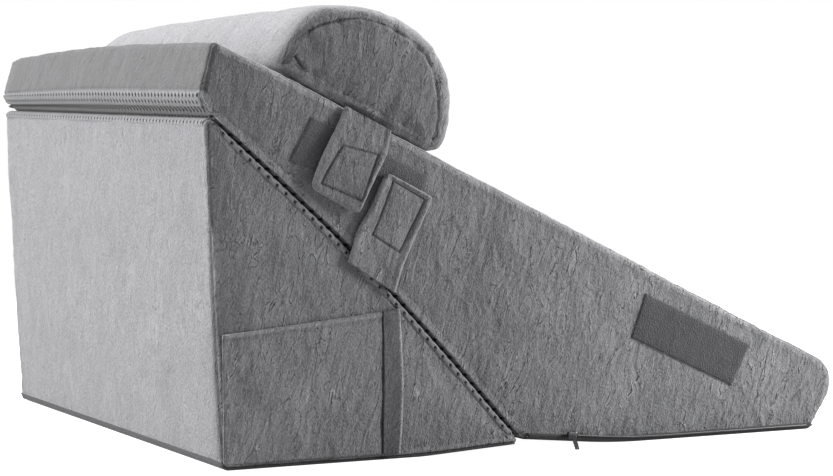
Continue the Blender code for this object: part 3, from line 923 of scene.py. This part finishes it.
# The end panel is sewn in along this line, in slope coordinates, from its lower left
bolsterSeam = (
    (0.0630, 0.0312), (0.0671, 0.0447), (0.0815, 0.0633), (0.1027, 0.0798), (0.1160, 0.0882),
    (0.1320, 0.0925), (0.1490, 0.0937), (0.1738, 0.0917), (0.1965, 0.0844), (0.2108, 0.0728),
    (0.2240, 0.0560), (0.2335, 0.0380), (0.2378, 0.0220), (0.2363, 0.0075), (0.1500, 0.0068),
    (0.1150, 0.0090), (0.0920, 0.0145), (0.0760, 0.0215), (0.0630, 0.0312),
)
bolsterLook = {
    **plainLook,
    "spacing": 0.0045, "panelSpacing": 0.0016,
    "cloth": bolsterCloth,
    "calm": {"near": 0.35, "far": 0.35, "arch": 0.3, "seat": 0.0},
    "seams": {"arch": 0.95, "seat": 0.95},
    "line": np.array([alongSlope(s, n) for s, n in bolsterSeam]),
    "tones": {"near": 0.72},
    "pale": ((0.19, 0.0), (0.23, 0.45), (0.34, 0.60), (0.39, 0.20), (0.43, -0.30), (0.50, -0.55)),
    "seamed": 0.1,
    # painted shade on the bolster's back where it runs down to the wedge
    "along": ((0.42, 1.0), (0.46, 0.90), (0.50, 0.74)),
    # painted shade on the left half of the end's seam, painted highlight on its upper right
    "marks": {
        "dark": ((0.0, 1), (0.105, 1), (0.120, 0.1), (0.185, 0.1), (0.200, 0.35), (0.370, 0.2),
                 (0.390, 1), (0.434, 1)),
        "light": ((0.105, 0), (0.120, 1), (0.180, 1), (0.200, 0)),
    },
}
bolster = cushion("bolster_cushion", bolsterForm, bolsterLook)
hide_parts("head_bolster")


# Panels sewn over the wedges

print("panels")
baseStep = 0.006                # between the rows of a base panel, both ways


def basePanel(name, node, form, start, end, turn):
    # A plain panel sewn on under a form: one cloth thick, and turned up round both rims
    low, high = form["low"] - form["arc"] * turn, form["high"] + form["arc"] * turn
    vs = widths(form, baseStep)
    vs = np.concatenate([[low], vs[(vs > low) & (vs < high)], [high]])
    s, v = np.meshgrid(np.linspace(start, end, max(2, ceil((end - start) / baseStep))), vs)
    back, front = (onForm(form, s.ravel(), v.ravel(), lift)[0].reshape(*s.shape, 3)
                   for lift in (pillowSet["gap"], recess))
    panel = sheetBetween(name, front, back, "base_cloth", np.ones(s.size), (node,))


basePanel("lower_base_cloth", "lower_base_panel", lowerForm,
          placeOf(lowerForm, "foot"), placeOf(lowerForm, "toe"), 0.55)
basePanel("upper_base_cloth", "upper_base_panel", upperForm,
          placeOf(upperForm, "crotch", last=True), placeOf(upperForm, "heel", last=True), 0.95)

perforation = {
    "rowPitch": 0.00615, "holePitch": 0.0090,
    "wide": 1.3,                # how much wider than high a hole is
    "sink": 0.0003,             # how far its edge dips
    "side": 0.004,              # the strips at the sides reach this far in from the rims
    "tuck": 0.0013,             # how far the cloth's edges dip, to lie level with the pile
    "narrowing": 0.012,         # over what length the strips narrow
}
lowerPunched = {
    "run": (lowerToe + 0.006, lowerSeam),
    "turn": 0.97,                           # how far it goes round the rims
    "band": (lowerSeam - 0.012, lowerSeam),     # punched from side to side
    "strips": (lowerTop - 0.010, 0.15, -1),     # where they end, how wide then, which way
    "drawn": 0.0,                           # how far it draws in towards the far end
    "hole": 0.0021,
    "sideTone": 0.47, "faceTone": 0.48,
    "dark": (0, lowerTop - 0.004),          # painted shade, nearly black, between the wedges
    "fade": None,                           # from where to where painted shade deepens on the way there
}
upperPunched = {
    "run": (upperSeam, upperForm["along"][-1] - 0.004),
    "turn": 0.30,
    "band": (upperSeam, upperLip + 0.012),
    "strips": (upperLip + 0.008, 0.9, 1),
    "drawn": 0.003,
    "hole": 0.0026,
    "sideTone": 0.50, "faceTone": 0.34,
    "dark": (upperLip + 0.008, 9.0),
    "fade": (upperSeam + 0.004, upperLip + 0.006),
}


def knitTone(form, look, s, v):
    # Painted light and shade: the cloth takes one tone on the sides and another on the face,
    # as each is lit, painted shade deepens on the way into the gap, and it is nearly black
    # between the wedges
    deep = np.minimum(v - form["low"], form["high"] - v)
    inside = np.clip(deep / 0.006 + 1, 0, 1)
    found = look["sideTone"] + (look["faceTone"] - look["sideTone"]) * inside
    if look["fade"]:
        start, end = look["fade"]
        found = found * (1 - 0.62 * np.clip((s - start) / (end - start), 0, 1) ** 1.3)
    between = (s > look["dark"][0]) & (s < look["dark"][1]) & (deep > 0.0)
    return np.where(between, 0.06, found)


def punchedPanel(name, node, form, look):
    # A panel that follows its form, with punched holes in staggered rows on the strips at
    # the sides and in the band. The rest, hidden between the wedges, is plain. It dips
    # along its edges, and at the far end it is drawn in with the pile round it.
    start, end = look["run"]
    low, high = form["low"] - form["arc"] * look["turn"], form["high"] + form["arc"] * look["turn"]
    rows = round((end - start) / perforation["rowPitch"])
    columns = round((high - low) / (perforation["holePitch"] / 2))
    ds, dv = (end - start) / rows, (high - low) / columns
    centreS, centreV = np.meshgrid(start + ds * (np.arange(rows) + 0.5),
                                   low + dv * (np.arange(columns) + 0.5), indexing="ij")
    side = np.minimum(centreV - form["low"], form["high"] - centreV) < perforation["side"]
    band = (centreS > look["band"][0]) & (centreS < look["band"][1])
    fine = np.zeros((rows + 2, columns + 2), bool)
    fine[1:-1, 1:-1] = side | band
    spots, index, front, rings = [], {}, [], []

    def corner(i, j):
        # a point of the half-step grid, made when it is first used
        if (i, j) not in index:
            index[i, j] = len(spots)
            spots.append((start + ds * i / 2, low + dv * j / 2, 0.0))
        return index[i, j]

    radius = look["hole"] / 2
    circle = [(radius * sin(a), radius * perforation["wide"] * cos(a))
              for a in np.arange(8) * pi / 4 - 3 * pi / 4]
    for i, j in np.ndindex(rows, columns):
        a, b = 2 * i, 2 * j
        around = [(a, b), (a, b + 1), (a, b + 2), (a + 1, b + 2), (a + 2, b + 2),
                  (a + 2, b + 1), (a + 2, b), (a + 1, b)]
        if not fine[i + 1, j + 1]:
            # a plain cell, with a point in each edge that it shares with a fine one
            beside = {1: fine[i, j + 1], 3: fine[i + 1, j + 2], 5: fine[i + 2, j + 1],
                      7: fine[i + 1, j]}
            front.append([corner(*p) for k, p in enumerate(around) if k % 2 == 0 or beside[k]])
        elif (i + j) % 2:
            middle = corner(a + 1, b + 1)
            for k in range(0, 8, 2):
                p, q, r = (corner(*x) for x in (around[k], around[k + 1], around[k - 1]))
                front.append([r, p, q, middle])
        else:
            ring = list(range(len(spots), len(spots) + 8))
            spots += [(centreS[i, j] + up, centreV[i, j] + out, -perforation["sink"])
                      for up, out in circle]
            outer = [corner(*p) for p in around]
            front += [[outer[k - 1], outer[k], ring[k], ring[k - 1]] for k in range(8)]
            rings.append(ring)

    s, v, dip = np.array(spots).T
    count, walls = len(s), dip < 0
    tones = knitTone(form, look, s, v)
    lift = -perforation["tuck"] * (bell(v - low, 0.0014) + bell(v - high, 0.0014))
    lift -= perforation["tuck"] * (bell(s - start, 0.0020) + bell(s - end, 0.0020))
    lift -= look["drawn"] * farEnd(form, v)
    at, left, sign = look["strips"]
    taper = left + (1 - left) * np.clip(0.5 + sign * (s - at) / perforation["narrowing"], 0, 1)
    v = v - (v - np.clip(v, form["low"], form["high"])) * (1 - taper)
    top, _ = onForm(form, s, v, recess + lift + dip)
    under, _ = onForm(form, s, v, pillowSet["gap"] + lift)
    faces = front + [[p + count for p in face[::-1]] for face in front]
    faces += [[ring[k - 1], ring[k], ring[k] + count, ring[k - 1] + count]
              for ring in rings for k in range(8)]
    # the edges that only one face has are the panel's rim, apart from the holes'
    rim = {}
    for face in front:
        for p, q in zip(face, face[1:] + face[:1]):
            if (q, p) in rim:
                del rim[q, p]
            else:
                rim[p, q] = True
    holes = {(ring[k], ring[k - 1]) for ring in rings for k in range(8)}
    faces += [[q, p, p + count, q + count] for p, q in rim
              if (p, q) not in holes and (q, p) not in holes]
    # painted shade inside the holes: their walls dark on top, black on the underside
    tones = np.concatenate([np.where(walls, tones * 0.25, tones), np.where(walls, 0.0, tones)])
    panel = cleaned(newPiece(name, np.vstack([top, under]), faces, "perforated_cloth", tones, (node,)))


punchedPanel("lower_slope_cloth", "lower_slope_panel", lowerForm, lowerPunched)
punchedPanel("upper_under_cloth", "upper_under_panel", upperForm, upperPunched)


# Pieces on the near side

def sideOf(piece):
    # How near the viewer the piece's near side is at x, z
    mesh = piece.data
    edge = -pillowSet["width"] / 2
    tree = BVHTree.FromPolygons([v.co - Vector(shift) for v in mesh.vertices],
                                [tuple(p.vertices) for p in mesh.polygons])

    def nearSide(x, z):
        hit = tree.ray_cast(Vector((x, -1.0, z)), Vector((0, 1, 0)))[0]
        return min(hit.y, edge) if hit else edge
    return nearSide


lowerSide, upperSide = sideOf(lowerWedge), sideOf(upperWedge)


def laidPiece(name, node, nearSide, material, look, relief, tone):
    # A flat piece on a near side. Its rows are left (x, z), right (x, z), and how far the
    # back stands off at left and right. Relief and tone take u and v from 0 to 1 and the
    # piece's size in metres. A corner rounds both corners of the free end.
    rows = look["rows"]
    table = np.array([[k / (len(rows) - 1), *a, *b, *c] for k, (a, b, c) in enumerate(rows)])
    tall = np.linalg.norm(np.diff(table[:, 1:3], axis=0), axis=1).sum()
    across = np.linalg.norm(table[:, 3:5] - table[:, 1:3], axis=1).mean()
    columns, rows = (max(3, ceil(size / look["spacing"])) for size in (across, tall))
    u, v = (a.ravel() for a in np.meshgrid(np.linspace(0, 1, columns), np.linspace(0, 1, rows)))
    lx, lz, rx, rz, offLeft, offRight = (smoothTable(table, v, k) for k in range(1, 7))
    if "corner" in look:
        radius = look["corner"]
        into = np.clip(radius - (v if look["freeEnd"] == 0 else 1 - v) * tall, 0, radius)
        inset = (radius - np.sqrt(radius ** 2 - into ** 2)) / across
        u = 0.5 + (u - 0.5) * (1 - 2 * inset)
    x = lx + (rx - lx) * u
    z = lz + (rz - lz) * u
    off = offLeft + (offRight - offLeft) * u
    y = np.array([nearSide(a, b) for a, b in zip(x, z)]) - pillowSet["gap"] - off
    rise = relief(look, u, v, across, tall)
    back = np.column_stack([x, y, z]).reshape(rows, columns, 3)
    front = np.column_stack([x, y - look["thick"] - rise, z]).reshape(rows, columns, 3)
    piece = sheetBetween(name, front, back, material, tone(look, u, v, across, tall), (node,))
    return piece, across, tall


print("patches")
plainPatch = {"thick": pillowSet["cloth"], "spacing": 0.002, "sewnIn": 0.0025}
patches = {
    "rear": {
        **plainPatch, "tone": 0.46,
        "rows": (((0.0936, 0.3346), (0.2175, 0.2762), (0, 0)),
                 ((0.0709, 0.2934), (0.1948, 0.2350), (0, 0))),
    },
    "front": {
        **plainPatch, "tone": 0.32,
        "rows": (((0.4663, 0.1521), (0.5937, 0.0934), (0, 0)),
                 ((0.4490, 0.1079), (0.5712, 0.0524), (0, 0))),
    },
}


def patchRelief(look, u, v, across, tall):
    # A sewn line just inside the edge, which is pressed flat
    edge = np.minimum(np.minimum(u, 1 - u) * across, np.minimum(v, 1 - v) * tall)
    return -0.0005 * bell(edge - look["sewnIn"], 0.0009) - 0.0004 * bell(edge, 0.001)


def patchTone(look, u, v, across, tall):
    return np.full(len(u), look["tone"])


for key, look in patches.items():
    patch, across, tall = laidPiece(f"{key}_patch", f"{key}_loop_patch", upperSide, "loop_tape",
                                    look, patchRelief, patchTone)

print("straps")
plainStrap = {
    "thick": 0.0030, "spacing": 0.0010,
    "hem": 0.0062,              # width of the rolled hem
    "corner": 0.006,            # radius of the free end's corners
}
straps = {
    "bolster_strap": {
        **plainStrap, "tone": 0.71,
        "freeEnd": 0,           # the end where v is 0 hangs free
        "box": ((0.14, 0.10), (0.93, 0.10), (0.86, 0.60), (0.23, 0.565)),   # stitched, in u, v
        "rows": (
            ((0.0903, 0.2668), (0.1405, 0.2403), (0.0045, 0.0045)),
            ((0.0965, 0.2860), (0.1545, 0.2690), (0.0050, 0.0040)),
            ((0.1054, 0.3057), (0.1650, 0.2880), (0.0060, 0.0035)),
            ((0.1195, 0.3290), (0.1735, 0.3050), (0.0035, 0.0025)),
            ((0.1285, 0.3450), (0.1772, 0.3205), (0.0008, 0.0008)),
        ),
    },
    "link_strap": {
        **plainStrap, "tone": 0.86,
        "freeEnd": 1,
        "box": ((0.26, 0.45), (0.83, 0.478), (0.87, 0.90), (0.17, 0.895)),
        "rows": (
            ((0.1304, 0.1952), (0.1805, 0.1634), (0.0020, 0.0020)),
            ((0.1350, 0.2090), (0.1838, 0.1740), (0.0026, 0.0022)),
            ((0.1405, 0.2260), (0.1885, 0.1890), (0.0030, 0.0025)),
            ((0.1519, 0.2451), (0.1988, 0.2122), (0.0035, 0.0030)),
            ((0.1646, 0.2716), (0.2134, 0.2418), (0.0035, 0.0030)),
            ((0.1709, 0.2808), (0.2200, 0.2558), (0.0035, 0.0030)),
        ),
    },
}


def onStrap(look, u, v, across, tall):
    # Places in metres, how far in from the hemmed edges they are, how far from the
    # stitched box, and which lie inside it
    size = np.array([across, tall])
    at, box = np.column_stack([u, v]) * size, np.array(look["box"]) * size
    fromEnd = (v if look["freeEnd"] == 0 else 1 - v) * tall
    edge = np.minimum(np.minimum(u, 1 - u) * across, fromEnd)
    return at, edge, toLine(at, np.vstack([box, box[:1]]))[0], insideRing(at, box)


def strapRelief(look, u, v, across, tall):
    # The hem rolls up along the sides and the free end. The thread draws the box in, the
    # middle swells between and ripples, and folds run in from the fixed end.
    (at, edge, toBox, inside), hem = onStrap(look, u, v, across, tall), look["hem"]
    total = 0.0016 * bell(edge - hem * 0.55, hem * 0.55) - 0.0016 * bell(edge, 0.0011)
    total -= 0.0013 * bell(toBox, 0.0010)
    total += np.where(inside, 0.0012 * np.clip(toBox / 0.012, 0, 1), 0.0)
    total += 0.00035 * layeredNoise(flatPoints(*at.T) / 0.006) * bell(edge, hem)
    ripple = gradientNoise(flatPoints(at[:, 0] / 0.040, at[:, 1] / 0.0050, look["freeEnd"]))
    total += np.where(inside, 0.00022 * ripple, 0.0)
    folds = gradientNoise(flatPoints(at[:, 0] / 0.009, at[:, 1] / 0.045, 4.0))
    fixed = (1 - v if look["freeEnd"] == 0 else v) * tall
    return total + 0.0016 * folds * bell(fixed - 0.012, 0.018)


def strapTone(look, u, v, across, tall):
    # Painted highlight along the rolled hem, painted shade on the stitched box where it lies deep in
    # the pile
    _, edge, toBox, _ = onStrap(look, u, v, across, tall)
    pale = 1 + 0.40 * bell(edge - 0.0012, 0.0022)
    return look["tone"] * pale * (1 - 0.75 * bell(toBox, 0.0009))


for name, look in straps.items():
    strap, across, tall = laidPiece(f"{name}_cloth", name, upperSide, "plush", look, strapRelief,
                                    strapTone)

print("pocket")
pocketLook = {
    "thick": 0.0014, "spacing": 0.0015, "tone": 0.91,
    "sewnAt": 0.0052,           # below the top, where the hem is sewn down
    "rows": (
        ((0.0018, 0.0065), (0.1665, 0.0065), (0.0002, 0.0002)),
        ((0.0014, 0.0450), (0.1665, 0.0450), (0.0004, 0.0004)),
        ((0.0010, 0.0900), (0.1665, 0.0950), (0.0006, 0.0006)),
        ((0.0006, 0.1300), (0.1665, 0.1455), (0.0010, 0.0010)),
    ),
}
gussetLook = {
    "thick": 0.0018, "spacing": 0.0013, "tone": 0.78,
    "fold": 0.0062,             # how far its one lengthwise fold stands out
    "crest": 0.82,              # where in the width the fold turns over
    "rows": (
        ((0.1680, 0.0065), (0.1860, 0.0065), (0.0004, 0.0002)),
        ((0.1680, 0.0450), (0.1882, 0.0450), (0.0010, 0.0004)),
        ((0.1680, 0.0950), (0.1880, 0.0950), (0.0010, 0.0004)),
        ((0.1680, 0.1455), (0.1858, 0.1480), (0.0004, 0.0002)),
    ),
}


def pocketRelief(look, u, v, across, tall):
    # A narrow hem is rolled over and sewn down below the top; the cloth sags a little
    top = (1 - v) * tall
    hem = 0.0016 * bell(top - 0.0022, 0.0020) - 0.0012 * bell(top - look["sewnAt"], 0.0010)
    spots = flatPoints(u * across, v * tall)
    drape = 0.0009 * layeredNoise(spots / 0.045)
    return hem + drape + 0.0005 * creases(spots / np.array([0.018, 1, 0.050]) + 3.0, 5.0)


def pocketTone(look, u, v, across, tall):
    # Painted highlight on the turned hem, painted shade in the groove where it is sewn down and along
    # both side edges, deepest at the fold by the gusset
    top = (1 - v) * tall
    hem = 0.22 * bell(top - 0.0026, 0.0014) - 0.36 * bell(top - look["sewnAt"], 0.0008)
    sides = 0.5 * bell((1 - u) * across, 0.0012) + 0.35 * bell(u * across, 0.0018)
    return look["tone"] + hem - sides


def gussetRelief(look, u, v, across, tall):
    # One lengthwise fold, rising to a round edge on the right
    crest = look["crest"]
    edge = np.clip((u - crest) / (1 - crest), 0, 1)
    return look["fold"] * np.minimum(u / crest, 1) ** 1.3 * np.sqrt(1 - edge ** 2) + 0.0001


def gussetTone(look, u, v, across, tall):
    # Painted highlight on the round right edge, painted shade along the left edge where it folds under
    return look["tone"] + 0.80 * bell(u - 0.90, 0.08) - 0.55 * bell(u, 0.05)


pocket, across, tall = laidPiece("pocket_cloth", "pocket_panel", lowerSide, "plush", pocketLook,
                                 pocketRelief, pocketTone)
gusset, across, tall = laidPiece("pocket_gusset_cloth", "pocket_gusset", lowerSide, "plush",
                                 gussetLook, gussetRelief, gussetTone)

print("zip")
zipFinish = {"zip_coil": "zip_tape", "zip_slider": "zip_metal", "zip_puller": "zip_metal"}
for node, material in zipFinish.items():
    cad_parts[node].data.materials.clear()
    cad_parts[node].data.materials.append(finish[material])


# Studio

print("studio")
studio = {
    "floor": "#a4a4a4", "floorSize": 3.4,
    "floorSeen": 1.00,          # the floor's own glow as the camera sees it: nearly white
    "floorGlow": 0.25,          # and as it lights the set
    "world": 0.17,              # what the white surroundings give as light
    "aim": (0, 0, 0.2),
    # name: place, size in metres, watts
    "lights": {
        "window": ((-3.4, 0.5, 1.5), 1.8, 345),
        "ceiling": ((-0.4, 0.5, 3.0), 2.6, 265),
        "softbox": ((1.6, -1.05, 0.7), 0.6, 66),
    },
}
view = {
    "place": (-1.2600, -2.5577, 0.3718),
    "down": 3.525, "aside": 26.510,         # degrees
    "focal": 112.37, "sensor": 36.0,        # millimetres
}
bpy.ops.mesh.primitive_plane_add(size=studio["floorSize"])
floor = bpy.context.object
floor.name = "floor"
floorMaterial, floorTree, floorShader = newMaterial("pale_floor", studio["floor"], 0.9)
floorShader.inputs["Emission Color"].default_value = (1, 1, 1, 1)
looked = addNode(floorTree, "ShaderNodeLightPath")
glow = addNode(floorTree, "ShaderNodeMapRange", {
    "Value": looked.outputs["Is Camera Ray"],
    "To Min": studio["floorGlow"], "To Max": studio["floorSeen"]})
floorTree.links.new(glow.outputs[0], floorShader.inputs["Emission Strength"])
floor.data.materials.append(floorMaterial)
floor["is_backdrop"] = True

world = bpy.data.worlds.new("soft_white")
world.use_nodes = True
sky = world.node_tree.nodes["Background"]
sky.inputs["Color"].default_value = (1, 1, 1, 1)
seen = addNode(world.node_tree, "ShaderNodeLightPath")
level = addNode(world.node_tree, "ShaderNodeMapRange", {
    "Value": seen.outputs["Is Camera Ray"], "To Min": studio["world"], "To Max": 1.0})
world.node_tree.links.new(level.outputs[0], sky.inputs["Strength"])
bpy.context.scene.world = world

for name, (place, size, watts) in studio["lights"].items():
    lamp = bpy.data.lights.new(name, "AREA")
    lamp.shape = "SQUARE"
    lamp.size = size
    lamp.energy = watts
    holder = bpy.data.objects.new(name, lamp)
    holder.location = place
    towards = Vector(studio["aim"]) - Vector(place)
    holder.rotation_euler = towards.to_track_quat("-Z", "Y").to_euler()
    bpy.context.scene.collection.objects.link(holder)

lens = bpy.data.cameras.new("camera")
lens.sensor_fit = "HORIZONTAL"
lens.sensor_width = view["sensor"]
lens.lens = view["focal"]
lens.clip_end = 50
camera = bpy.data.objects.new("camera", lens)
camera.location = view["place"]
camera.rotation_euler = (radians(90 - view["down"]), 0, radians(-view["aside"]))
bpy.context.scene.collection.objects.link(camera)
bpy.context.scene.camera = camera
bpy.context.scene.view_settings.view_transform = "Standard"

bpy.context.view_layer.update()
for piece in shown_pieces():
    print(piece.name, len(piece.data.polygons))
